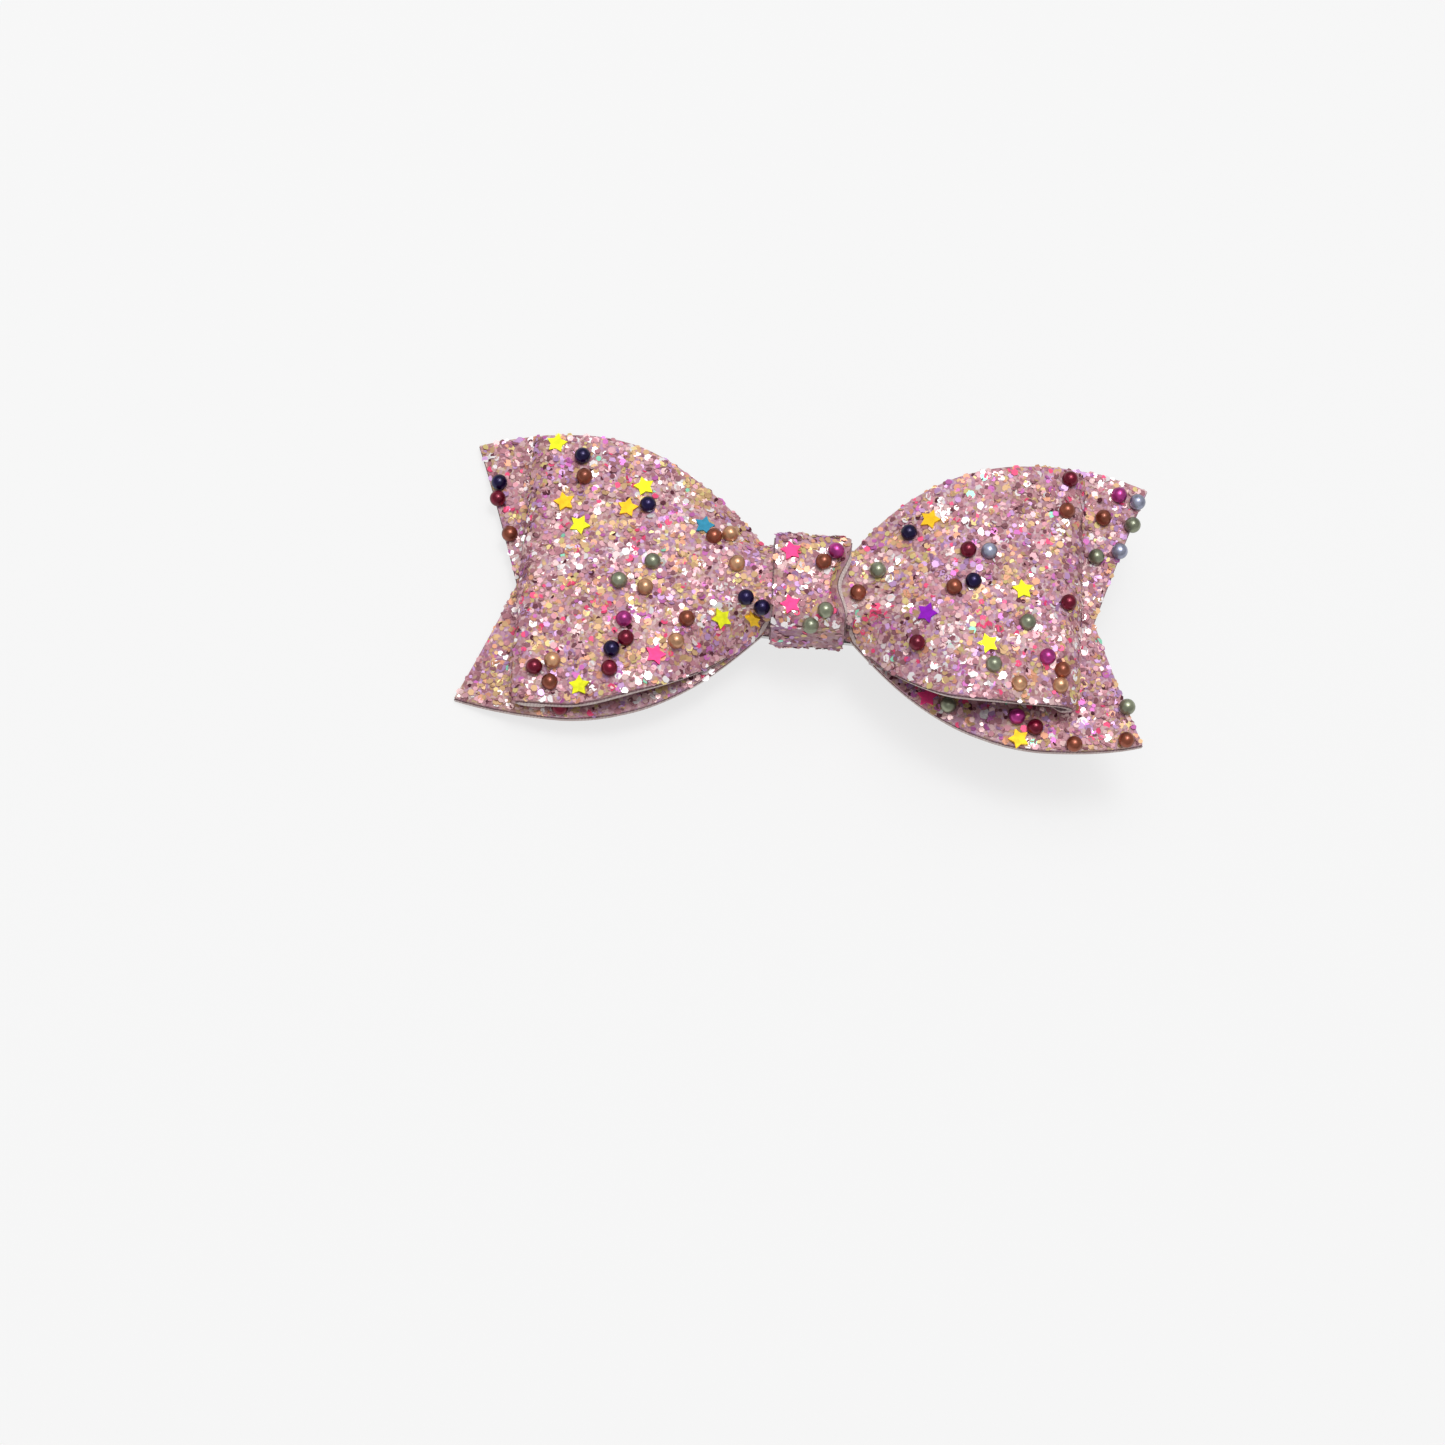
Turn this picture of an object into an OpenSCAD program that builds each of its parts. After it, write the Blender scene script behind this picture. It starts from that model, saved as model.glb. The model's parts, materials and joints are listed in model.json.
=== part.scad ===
// Glitter-canvas hair bow on an alligator clip. Two puffed loops lie over a notched
// tail, a wrapped strip pinches both onto the clip, and pearl beads and foil stars are
// set in the glitter coat. Millimetres.
// The bow is drawn level, with the clip's glued face at z = 0, the width along X and
// the front towards +Z. lay() then rests it on its lever and its left tail tips, and
// centres it over the origin.

/* [Sheet material] */
// Thickness of the canvas backing
backing_t = 0.5; // [0.4:0.05:0.5]
// Thickness of the resin and glitter coat
coat_t = 0.6; // [0.5:0.05:0.6]

/* [Tail] */
// Distance of the left tips from the knot
tail_left = 38; // [37:0.1:39]
// Distance of the right tips from the knot
tail_right = 37.3; // [37:0.1:39]
// Height of the tail where it is tallest
tail_h = 34.4; // [33:0.2:36]
// Height of the tail between its tips
tip_h = 30.8; // [29:0.2:32]
// How far the tail's wings sit above the clip's middle line
tail_up = 0.8; // [0:0.1:1]
// Depth of the notch at each end
notch_depth = 5.7; // [5:0.1:8]
// How far the notches sit below the middle of the tail's wings
notch_low = 1.4; // [0:0.1:2]
// How far the tips bend back
tail_droop = 1; // [0.5:0.1:2.5]

/* [Loops] */
// Distance of the left fold from the knot
fold_left = 31.1; // [30:0.1:32]
// Distance of the right fold from the knot
fold_right = 29.1; // [28.6:0.1:30]
// Height of the left loop at its fold
loop_h_left = 31.6; // [30:0.2:33]
// Height of the right loop at its fold
loop_h_right = 30; // [29:0.2:32]
// Top of the left loop above the clip's glued face
rise_left = 5.6; // [5.4:0.1:6.5]
// Top of the right loop above the clip's glued face
rise_right = 7.8; // [6:0.1:7.9]

/* [Knot] */
// Height of the wrapped knot
knot_h = 11; // [10.6:0.1:12]
// Width of the wrap at its top edge
wrap_w_top = 8.8; // [7:0.1:9]
// Width of the wrap at its bottom edge
wrap_w_bottom = 8; // [7:0.1:9]
// Height of the pinched sheets inside the wrap
waist_h = 8.2; // [7.6:0.1:8.2]

/* [Clip] */
// Length of the top arm
clip_len = 45; // [43:0.5:47]
// Width of the top arm
clip_w = 7; // [6.8:0.1:7]
// Thickness of the clip's steel
steel_t = 0.6; // [0.5:0.05:0.6]
// Drop of the lever's end below the glued face
lever_drop = 9.2; // [8.8:0.1:9.6]
// Radius of the rivet's shank
pin_r = 0.8; // [0.7:0.05:0.8]

/* [Trim] */
// Radius of a pearl bead
bead_r = 0.9; // [0.8:0.05:0.95]
// Depth that a bead is sunk in the coat
bead_sink = 0.4; // [0.3:0.05:0.45]
// Radius of a star from its centre to its points
star_r = 1.2; // [1:0.1:1.3]
// Thickness of a foil star with its resin
star_t = 0.35; // [0.3:0.05:0.5]

/* [Hidden] */
$fn = 48;

// The stack at the knot, from the clip's glued face up
sheet_t = backing_t + coat_t;
glue_t = 0.3;
film_t = 0.15;
wrap_gap = 0.05;                                      // between the wrap and what it holds
tail_face = glue_t + backing_t;                       // where tail backing meets coat
loop_back = glue_t + sheet_t + glue_t + coat_t;       // where the lower loop layer's coat meets backing
loop_end = loop_back + backing_t + film_t + coat_t;   // the same on the overlapping end
loop_front = loop_end + backing_t + glue_t + backing_t;
knot_inner = loop_front + coat_t + wrap_gap;          // inside of the wrap in front
arm_under = -steel_t;                                 // underside of the top arm

// Places along X, from the knot outwards
waist_x = 4.6;    // the sheets leave the wrap
end_x = 4;        // the loop strip's ends
flat_x = 22;      // the tail starts to bend back
arm_tip = -24;
arm_end = arm_tip + clip_len;

// The hinge
hinge_x = 8;
hinge_z = -3.3;
ear_r = 1.5;
pin_play = 0.02;
run_gap = 0.06;
side_gap = 0.15;

// How the bow lies: on the end of the lever and on the left tail tips. Its box is as wide
// and as high as the tail's.
rest_low = -lever_drop - steel_t;
tip_low = glue_t - tail_droop;
tilt = atan((tip_low - rest_low) / (arm_end + tail_left));
lift = -(arm_end * sin(tilt) + rest_low * cos(tilt));
shift_x = (tip_low + sheet_t / 2) * sin(tilt) + (tail_left - tail_right) / 2 * cos(tilt);
shift_y = -tail_up;

module lay() {
    translate([shift_x, shift_y, lift]) rotate([0, -tilt, 0]) children();
}

// ---- curves ----

function flip(p) = [for (i = [len(p) - 1:-1:0]) p[i]];

function bez(a, b, c, d, n) = [
    for (i = [0:n]) let (t = i / n, s = 1 - t)
        s * s * s * a + 3 * s * s * t * b + 3 * s * t * t * c + t * t * t * d
];

function arc(cx, cz, r, from, to, n) = [
    for (i = [0:n]) let (a = from + (to - from) * i / n) [cx + r * cos(a), cz + r * sin(a)]
];

function unit(v) = v / norm(v);

// The path moved to its left by d, with mitred corners
function beside(p, d) = let (n = len(p) - 1) [
    for (i = [0:n]) let (
        a = unit(p[max(i, 1)] - p[max(i - 1, 0)]),
        b = unit(p[min(i + 1, n)] - p[min(i, n - 1)]),
        m = unit([-a.y - b.y, a.x + b.x])
    ) p[i] + m * d / (m * [-a.y, a.x])
];

// A strip of thickness d on the left side of a path
function strip(p, d) = concat(p, flip(beside(p, d)));

// ---- tail ----

function tip(x) = x < 0 ? tail_left : tail_right;
function droop(x) = tail_droop * pow(max(abs(x) - flat_x, 0) / (tip(x) - flat_x), 2);

bend_steps = 8;
past_tip = 1;
tail_path = [for (side = [-1, 1]) for (i = [0:bend_steps]) let (
    step = side < 0 ? bend_steps - i : i,
    x = side * (flat_x + (tip(side) + past_tip - flat_x) * step / bend_steps)
) [x, tail_face - droop(x)]];

// The tail's edge above its own middle line: out of the waist to its tallest place, then
// to a tip with a small cut corner
tallest_x = 26;
corner = [0.6, 0.5];
function tail_quarter(tip_x) = concat(
    bez([waist_x, waist_h / 2], [9, 9], [15, tail_h / 2 - 0.2], [tallest_x, tail_h / 2], 12),
    bez([tallest_x, tail_h / 2], [30, tail_h / 2 - 0.1], [34, tip_h / 2 + 1.2],
        [tip_x - corner.x, tip_h / 2 + corner.y], 5),
    [[tip_x, tip_h / 2]]
);

// One end of the tail: its top edge out to the tip, the notch and its bottom edge back
function tail_end(tip_x) = let (q = tail_quarter(tip_x)) concat(
    q, [[tip_x - notch_depth, -notch_low]], [for (p = flip(q)) [p.x, -p.y]]
);

// How far the tail sits above the clip's middle line at x
raised_over = 15;
function raised(x) = tail_up * min(max(abs(x) - waist_x, 0) / raised_over, 1);

module tail_outline() {
    edge = concat(tail_end(tail_right), [for (p = flip(tail_end(tail_left))) [-p.x, p.y]]);
    polygon([for (p = edge) [p.x, p.y + raised(p.x)]]);
}

// What lies above z, inside an outline; all_z is below everything
all_z = -20;
top_z = 20;
module above(z) {
    translate([0, 0, z]) linear_extrude(height = top_z - z) children();
}

// A sheet bent along a path and cut to its children
module bent_sheet(path, thick) {
    blank_h = 50;
    intersection() {
        rotate([90, 0, 0]) linear_extrude(height = blank_h, center = true) polygon(strip(path, thick));
        children();
    }
}

module tail_backing() {
    color("#b9b2ac") lay() bent_sheet(tail_path, -backing_t) above(all_z) tail_outline();
}

module tail_glitter() {
    color("#c79aa6") lay() bent_sheet(tail_path, coat_t) above(all_z) tail_outline();
}

// ---- loops ----

// Front, fold and back of one loop, from the knot outwards; side is -1 or 1. The fold is
// round, half its own height deep and a little longer, and k rounds its two curves.
puffed_x = 19;
function loop_side(side, fold, rise) = let (
    top = rise - coat_t,
    drop = 0.12 * (top - loop_back),
    half = (top - drop - loop_back) / 2,
    nose = 1.25 * half,
    mid = loop_back + half,
    k = 0.55
) concat(
    [[0, loop_front]],
    bez([side * waist_x, loop_front], [side * 9, loop_front], [side * 11, top], [side * puffed_x, top], 9),
    bez([side * puffed_x, top], [side * 23, top], [side * (fold - nose - 3), top - drop],
        [side * (fold - nose), top - drop], 4),
    bez([side * (fold - nose), top - drop], [side * (fold - nose + k * nose), top - drop],
        [side * fold, mid + k * half], [side * fold, mid], 5),
    bez([side * fold, mid], [side * fold, mid - k * half],
        [side * (fold - nose + k * nose), loop_back], [side * (fold - nose), loop_back], 5)
);

loop_left = loop_side(-1, fold_left, rise_left);
loop_right = loop_side(1, fold_right, rise_right);
ramp_x = 9;

// A path without the points that repeat the one before
function distinct(p) = [
    for (i = [0:len(p) - 1]) if (i == 0 || norm(p[i] - p[max(i - 1, 0)]) > 0.01) p[i]
];

// The strip from its first end, round the left loop, across the knot, round the right
// loop and up onto its first end
loop_path = distinct(concat(
    [[end_x, loop_back]], flip(loop_left), loop_right,
    bez([ramp_x, loop_back], [ramp_x - 1.5, loop_back], [waist_x + 1.5, loop_end], [waist_x, loop_end], 5),
    [[-end_x, loop_end]]
));

// Edges of the strip's front layer and of its narrower back layer, from the waist to the
// fold; flare and shoulder shape the front's edge
fold_edge = 28;
past_fold = 34;
flare_left = [7, 6.8];
flare_right = [6.5, 7.4];
shoulder_left = 15.5;
shoulder_right = 14;
back_waist = 3.9;
back_edge = [24, 11.4];
function fold_end(h) = [[fold_edge, h / 2], [past_fold, h / 2 - 0.3]];
function front_quarter(h, flare, shoulder) = concat(
    bez([waist_x, waist_h / 2], flare, [shoulder, h / 2 + 0.5], [fold_edge - 0.1, h / 2], 14),
    fold_end(h)
);
function back_quarter(h) = concat(
    bez([waist_x, back_waist], [9, 5], [14, 10], back_edge, 10), fold_end(h)
);

module loop_outline(left, right) {
    polygon(concat(
        right, [for (p = flip(right)) [p.x, -p.y]],
        [for (p = left) [-p.x, -p.y]], [for (p = flip(left)) [-p.x, p.y]]
    ));
}

module loop_cut() {
    above(all_z) loop_outline(back_quarter(loop_h_left), back_quarter(loop_h_right));
    above(loop_end + backing_t + glue_t / 6) loop_outline(
        front_quarter(loop_h_left, flare_left, shoulder_left),
        front_quarter(loop_h_right, flare_right, shoulder_right)
    );
}

module loop_backing() {
    color("#aaa39d") lay() bent_sheet(loop_path, -backing_t) loop_cut();
}

module loop_glitter() {
    color("#d3a3b1") lay() bent_sheet(loop_path, coat_t) loop_cut();
}

// ---- wrap ----

knot_r = 1.6;
face_r = knot_r - coat_t;
wrap_y = knot_h / 2 - coat_t;
wrap_front = knot_inner + backing_t;
wrap_back = arm_under - wrap_gap - backing_t;
lap = sheet_t + film_t;
lap_y = 2.5;

// Where the wrap's backing meets its coat, from the inner end to the lapped end
wrap_path = concat(
    [[lap_y - 0.5, wrap_back]],
    arc(-wrap_y + face_r, wrap_back + face_r, face_r, 270, 180, 5),
    arc(-wrap_y + face_r, wrap_front - face_r, face_r, 180, 90, 5),
    arc(wrap_y - face_r, wrap_front - face_r, face_r, 90, 0, 5),
    arc(wrap_y - face_r, wrap_back + face_r, face_r, 0, -90, 5),
    [[lap_y, wrap_back - lap], [-lap_y, wrap_back - lap]]
);

module wrap_outline() {
    t = wrap_w_top / 2;
    b = wrap_w_bottom / 2;
    h = knot_h;
    polygon([[-b, -h], [b, -h], [t, h], [-t, h]]);
}

module wrapped_strip(thick) {
    blank_w = 20;
    intersection() {
        rotate([90, 0, 90]) linear_extrude(height = blank_w, center = true) polygon(strip(wrap_path, thick));
        above(all_z) wrap_outline();
    }
}

module wrap_backing() {
    color("#c4bdb6") lay() wrapped_strip(-backing_t);
}

module wrap_glitter() {
    color("#bd8f9c") lay() wrapped_strip(coat_t);
}

// ---- hot-melt glue ----

film_x = end_x - 0.4;

// A pad of set glue with round ends
module pad(from, to, width, low, high) {
    r = width / 2;
    translate([0, 0, low]) linear_extrude(height = high - low) {
        translate([from + r, -r]) square([to - from - width, width]);
        translate([from + r, 0]) circle(r);
        translate([to - r, 0]) circle(r);
    }
}

module glue_clip() {
    bare = 5;
    color("#e8e0cf") lay() pad(arm_tip + bare, arm_end - bare, 5, 0, glue_t);
}

module glue_tail() {
    low = tail_face + coat_t;
    color("#e8e0cf") lay() pad(-7, 7, 5.6, low, low + glue_t);
}

module glue_ends() {
    low = loop_back + backing_t;
    color("#e8e0cf") lay() pad(-film_x, film_x, 4.6, low, low + film_t);
}

module glue_pinch() {
    low = loop_end + backing_t;
    color("#e8e0cf") lay() pad(-film_x, film_x, 5, low, low + glue_t);
}

module glue_wrap() {
    high = wrap_back - coat_t;
    color("#e8e0cf") lay() pad(-film_x, film_x, 3, high - film_t, high);
}

// ---- alligator clip ----

ear_out = clip_w / 2;
ear_in = ear_out - steel_t;
fork_out = ear_in - side_gap;
fork_in = fork_out - steel_t;

// A flat shape drawn in X and Z, standing between two values of Y
module upright(y0, y1) {
    translate([0, y1, 0]) rotate([90, 0, 0]) linear_extrude(height = y1 - y0) children();
}

// The eye of an ear round the hinge, joined to a plate at height z
module ear_shape(z, r) {
    translate([hinge_x, hinge_z]) circle(r);
    translate([hinge_x - r, min(z, hinge_z)]) square([2 * r, abs(z - hinge_z)]);
}

module hinge_hole(r) {
    translate([hinge_x, 0, hinge_z]) rotate([90, 0, 0]) cylinder(r = r, h = 20, center = true);
}

module clip_top_arm() {
    end_r = 2;
    color("#c9c9cc") lay() difference() {
        union() {
            translate([0, 0, arm_under]) linear_extrude(height = steel_t) {
                translate([arm_tip + clip_w / 2, 0]) circle(clip_w / 2);
                translate([arm_tip + clip_w / 2, -clip_w / 2])
                    square([clip_len - clip_w / 2 - end_r, clip_w]);
                translate([arm_end - end_r - 0.01, -clip_w / 2 + end_r])
                    square([end_r + 0.01, clip_w - 2 * end_r]);
                for (s = [-1, 1])
                    translate([arm_end - end_r, s * (clip_w / 2 - end_r)]) circle(end_r);
            }
            upright(ear_in, ear_out) ear_shape(arm_under + 0.1, ear_r);
            upright(-ear_out, -ear_in) ear_shape(arm_under + 0.1, ear_r);
        }
        hinge_hole(pin_r + pin_play);
    }
}

// The lower arm's inner face: jaw tip, heel under the hinge and lever end
jaw_z = -1.9;
heel_z = -5.1;
jaw_w = 6;
tooth_n = 3;
tooth_h = jaw_z + steel_t + 0.25;
function jaw_face(x) = jaw_z + (heel_z - jaw_z) * (x - arm_tip) / (hinge_x - arm_tip);

module clip_lower_arm() {
    face = [[arm_tip, jaw_z], [hinge_x, heel_z], [arm_end, -lever_drop]];
    neck = 4.5;
    tooth_pitch = 2.4;
    color("#bdbdc1") lay() difference() {
        union() {
            intersection() {
                upright(-jaw_w / 2, jaw_w / 2) polygon(strip(face, -steel_t));
                translate([0, 0, -20]) linear_extrude(height = 30) {
                    translate([arm_tip - 1, -jaw_w / 2]) square([hinge_x - neck - arm_tip + 1, jaw_w]);
                    translate([hinge_x - neck - 1, -fork_out]) square([2 * neck + 2, 2 * fork_out]);
                    translate([hinge_x + neck, -jaw_w / 2]) square([30, jaw_w]);
                }
            }
            for (s = [-1, 1])
                upright(s > 0 ? fork_in : -fork_out, s > 0 ? fork_out : -fork_in)
                    ear_shape(heel_z - 0.2, ear_r);
            for (s = [-1, 1]) for (i = [0:tooth_n - 1]) let (x = arm_tip + 0.4 + tooth_pitch * i)
                upright(s > 0 ? jaw_w / 2 - steel_t : -jaw_w / 2, s > 0 ? jaw_w / 2 : -jaw_w / 2 + steel_t)
                    polygon([[x, jaw_face(x) - 0.3], [x + 1.8, jaw_face(x + 1.8) - 0.3],
                             [x + 1.1, arm_under - 0.3], [x + 0.7, arm_under - 0.3]]);
        }
        hinge_hole(pin_r + run_gap);
    }
}

module clip_pin() {
    head_r = 1.3;
    head_t = 0.4;
    color("#a9a9ae") lay() translate([hinge_x, 0, hinge_z]) rotate([90, 0, 0]) {
        cylinder(r = pin_r, h = clip_w + 2 * head_t, center = true);
        for (s = [-1, 1])
            translate([0, 0, s * (clip_w / 2 + head_t / 2 + pin_play)])
                cylinder(r = head_r, h = head_t, center = true);
    }
}

// Torsion spring: a leg under the top arm, the coil round the rivet and a leg on the lever
wire_r = 0.25;
coil_r = 1.3;
coil_half = 1.35;
leg_len = 8.5;
turns = 4;
lever_slope = atan((heel_z + lever_drop) / (arm_end - hinge_x));
leg_rise = 7;
coil_from = 90 + leg_rise;
coil_to = 270 - lever_slope + 360 * turns;

function wire_at(a, y, along) = [
    [hinge_x + coil_r * cos(a) + along * sin(a), y, hinge_z + coil_r * sin(a) - along * cos(a)],
    [cos(a), 0, sin(a)]
];

spring_steps = 20 * turns;
spring_line = concat(
    [wire_at(coil_from, -coil_half, leg_len)],
    [for (i = [0:spring_steps]) let (t = i / spring_steps)
        wire_at(coil_from + (coil_to - coil_from) * t, -coil_half + 2 * coil_half * t, 0)],
    [wire_at(coil_to, coil_half, -leg_len)]
);

module swept_wire(line, r, sides) {
    n = len(line);
    pts = [for (s = line) for (k = [0:sides - 1]) let (a = 360 * k / sides)
        s[0] + r * cos(a) * s[1] + r * sin(a) * [0, 1, 0]];
    skin = [for (i = [0:n - 2]) for (k = [0:sides - 1]) let (j = (k + 1) % sides)
        [i * sides + k, i * sides + j, (i + 1) * sides + j, (i + 1) * sides + k]];
    polyhedron(
        points = pts,
        faces = concat(
            [[for (k = [sides - 1:-1:0]) k]], skin, [[for (k = [0:sides - 1]) (n - 1) * sides + k]]
        )
    );
}

module clip_spring() {
    color("#8f9096") lay() swept_wire(spring_line, wire_r, 8);
}

// ---- trim set in the coat ----

// Height of the coat's face over the loops and over the tail, and its slope
loop_face = [for (p = beside(concat(flip([for (q = loop_left) if (q[1] > loop_front - 0.3) q]),
    [for (q = loop_right) if (q[0] > 0.1 && q[1] > loop_front - 0.3) q]), coat_t)) p];

function loop_z(x) = lookup(x, loop_face);
function tail_z(x) = tail_face + coat_t - droop(x);
function loop_lean(x) = atan((loop_z(x + 0.3) - loop_z(x - 0.3)) / 0.6);
function tail_lean(x) = atan((tail_z(x + 0.3) - tail_z(x - 0.3)) / 0.6);

// Places its children on the coat: [x, y] on the loops, on the tail, and on the knot,
// where y is measured along the wrap from the middle of its front
module on_loop(spots) {
    for (p = spots) translate([p.x, p.y, loop_z(p.x)]) rotate([0, -loop_lean(p.x), 0]) children();
}

module on_tail(spots) {
    for (p = spots) translate([p.x, p.y, tail_z(p.x)]) rotate([0, -tail_lean(p.x), 0]) children();
}

module on_knot(spots) {
    flat = knot_h / 2 - knot_r;
    top = wrap_front + coat_t - knot_r;
    for (p = spots) let (turn = max(abs(p.y) - flat, 0) / knot_r * 180 / PI, s = sign(p.y))
        translate([p.x, s * min(abs(p.y), flat), top]) rotate([-s * turn, 0, 0])
            translate([0, 0, knot_r]) children();
}

module beads(loops = [], tail = [], knot = []) {
    module bead() { translate([0, 0, bead_r - bead_sink]) sphere(bead_r, $fn = 32); }
    lay() {
        on_loop(loops) bead();
        on_tail(tail) bead();
        on_knot(knot) bead();
    }
}

// A five-pointed star, sunk a little into the coat
module star(spin) {
    inner = star_r * 0.55;
    star_sink = 0.12;
    rotate([0, 0, spin]) translate([0, 0, -star_sink]) linear_extrude(height = star_t)
        polygon([for (i = [0:9]) let (r = i % 2 == 0 ? star_r : inner) r * [cos(36 * i), sin(36 * i)]]);
}

// Each star is turned by an angle that follows from its place
spin_step = 17;
module stars(loops = [], tail = [], knot = []) {
    lay() {
        for (p = loops) on_loop([p]) star(spin_step * p.x);
        for (p = tail) on_tail([p]) star(spin_step * p.x);
        for (p = knot) on_knot([p]) star(spin_step * p.x);
    }
}

module beads_navy() {
    color("#1b1c4a") beads(
        loops = [[-26, 13], [-18.4, 7.5], [-7, -2.8], [-5.1, -3.1], [-21, -9.8], [10.5, 5.8], [17.5, 0]],
        tail = [[-35.2, 11.3]]
    );
}

module beads_burgundy() {
    color("#6e1830") beads(
        loops = [[-19.6, -8.5], [-21, -12.1], [-29.3, -12.3], [16.8, 3.7], [27.8, -1.7],
                 [12.2, -7.1], [27.6, 13.4]],
        tail = [[-35.2, 9.3], [25.3, -14], [-26.3, -15.5]]
    );
}

module beads_copper() {
    color("#8c4a3a") beads(
        loops = [[-25.6, 10.5], [-11, 3.8], [-13.4, -5.7], [-27.5, -14], [15.5, -0.8],
                 [27.4, 9.5], [5.2, -1.3], [27.5, -10.8]],
        tail = [[-33.5, 5], [32.2, 11.9], [29.6, -15.6], [35.3, -14.5]],
        knot = [[1.2, 1.6]]
    );
}

module beads_champagne() {
    color("#c39a76") beads(
        loops = [[-18, -2.4], [-9.4, 4.9], [-8.2, 1.2], [-14.5, -8.2], [-27.4, -11.4],
                 [27.4, -13], [22.6, -13]]
    );
}

module beads_sage() {
    color("#8c9080") beads(
        loops = [[-17.4, 0.7], [-20.9, -1.8], [7.3, 1.4], [23.5, -5], [19.9, -10.3]],
        tail = [[31.5, 7], [35.5, 11.4], [15.8, -12.1], [35.3, -10.6]],
        knot = [[1.7, -4.1], [0.2, -5.5]]
    );
}

module beads_silver() {
    color("#9aa3b5") beads(loops = [[19.1, 3.7]], tail = [[34.1, 8], [36, 14.3]]);
}

module beads_magenta() {
    color("#a83c7c") beads(
        loops = [[-20, -6.3], [25.9, -9.2]], tail = [[33.9, 14.9], [23.3, -12.9]], knot = [[2.5, 3]]
    );
}

module stars_lemon() {
    color("#e9ee2a") stars(
        loops = [[-29, 14.5], [-25.7, 4.7], [-19, 9.8], [-9.7, -5.1], [22.9, -0.5],
                 [19.3, -7.6], [-24.2, -14.2]]
    );
}

module stars_amber() {
    color("#f2c21c") stars(
        loops = [[-27.6, 7.4], [-20.6, 7.1], [-6.2, -5], [12.6, 7.4]], tail = [[23.6, -15.4]]
    );
}

module stars_violet() {
    color("#7a2ad0") stars(loops = [[12.7, -3.5]]);
}

module stars_teal() {
    color("#2f93b4") stars(loops = [[-12.2, 5.7]]);
}

module stars_pink() {
    color("#f0357c") stars(loops = [[-16.5, -10]], tail = [[13.6, -11.2]], knot = [[-2.4, 2.8], [-2.1, -3.6]]);
}

tail_backing();
tail_glitter();
loop_backing();
loop_glitter();
wrap_backing();
wrap_glitter();
glue_clip();
glue_tail();
glue_ends();
glue_pinch();
glue_wrap();
clip_top_arm();
clip_lower_arm();
clip_pin();
clip_spring();
beads_navy();
beads_burgundy();
beads_copper();
beads_champagne();
beads_sage();
beads_silver();
beads_magenta();
stars_lemon();
stars_amber();
stars_violet();
stars_teal();
stars_pink();
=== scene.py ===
"""Looks of the glitter hair bow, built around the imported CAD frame.

The bow is built in its own level axes, in millimetres, as in part.scad: the clip's glued
face at z = 0, the width along X and the front towards +Z. LEVEL turns those places into
the frame's metres, where the bow lies on its lever and its left tail tips.
"""
import json
import math

import bpy
import numpy as np
from mathutils import Matrix, Vector


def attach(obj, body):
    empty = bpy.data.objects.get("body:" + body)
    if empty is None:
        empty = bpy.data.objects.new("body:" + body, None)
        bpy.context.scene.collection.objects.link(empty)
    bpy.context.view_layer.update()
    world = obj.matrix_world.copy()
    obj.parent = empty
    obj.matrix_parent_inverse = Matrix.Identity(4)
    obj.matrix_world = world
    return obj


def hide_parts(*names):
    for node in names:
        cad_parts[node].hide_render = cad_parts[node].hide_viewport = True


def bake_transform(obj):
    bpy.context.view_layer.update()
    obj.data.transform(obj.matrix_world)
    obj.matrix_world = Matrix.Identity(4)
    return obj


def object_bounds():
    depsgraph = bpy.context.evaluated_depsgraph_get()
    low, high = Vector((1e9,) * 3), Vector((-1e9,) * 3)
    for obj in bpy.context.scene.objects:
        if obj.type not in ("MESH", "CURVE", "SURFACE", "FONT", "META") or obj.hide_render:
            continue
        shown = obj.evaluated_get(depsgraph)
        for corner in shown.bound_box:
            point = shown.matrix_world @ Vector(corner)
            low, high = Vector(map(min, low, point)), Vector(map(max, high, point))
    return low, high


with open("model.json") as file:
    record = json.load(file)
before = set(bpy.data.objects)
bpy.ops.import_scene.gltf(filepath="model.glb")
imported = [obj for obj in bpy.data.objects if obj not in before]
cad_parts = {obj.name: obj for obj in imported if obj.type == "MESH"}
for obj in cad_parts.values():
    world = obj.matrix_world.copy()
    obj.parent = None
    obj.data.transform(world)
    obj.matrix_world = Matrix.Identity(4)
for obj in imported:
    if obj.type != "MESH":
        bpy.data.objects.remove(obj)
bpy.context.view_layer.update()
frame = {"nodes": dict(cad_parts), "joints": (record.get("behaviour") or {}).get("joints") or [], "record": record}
RNG = np.random.default_rng(20)
MM = 0.001

# ---- the level axes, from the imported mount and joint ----

HINGE_X, HINGE_Z = 8.0, -3.3
grip_axis = frame["record"]["mounts"][0]["axis"]
tilt = math.atan2(-grip_axis[2], -grip_axis[0])
across = Vector((math.cos(tilt), 0, math.sin(tilt)))
out = Vector((-math.sin(tilt), 0, math.cos(tilt)))
hinge = Vector(frame["joints"][0]["pos_m"])
origin = hinge - across * HINGE_X * MM - out * HINGE_Z * MM
LEVEL = Matrix((
    (across.x * MM, 0, out.x * MM, origin.x),
    (0, MM, 0, origin.y),
    (across.z * MM, 0, out.z * MM, origin.z),
    (0, 0, 0, 1),
))
LEVEL_NP = np.array(LEVEL)

# ---- sizes, in millimetres; where left and right differ, -1 is left and 1 is right ----

BACKING_T, COAT_T = 0.5, 0.6
GLUE_T, FILM_T, STEEL_T = 0.3, 0.15, 0.6
WRAP_GAP = 0.05

# The tail: where its tips are, its height in the middle of each half and at the tips, how far
# its halves sit above the knot's middle, and how far its tips bend back past FLAT_X
TIP = {-1: 38.0, 1: 37.3}
TAIL_H, TIP_H = 34.4, 30.8
TAIL_UP, TAIL_UP_REACH = 0.8, 15
DROOP, FLAT_X = 1.0, 22.0

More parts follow.
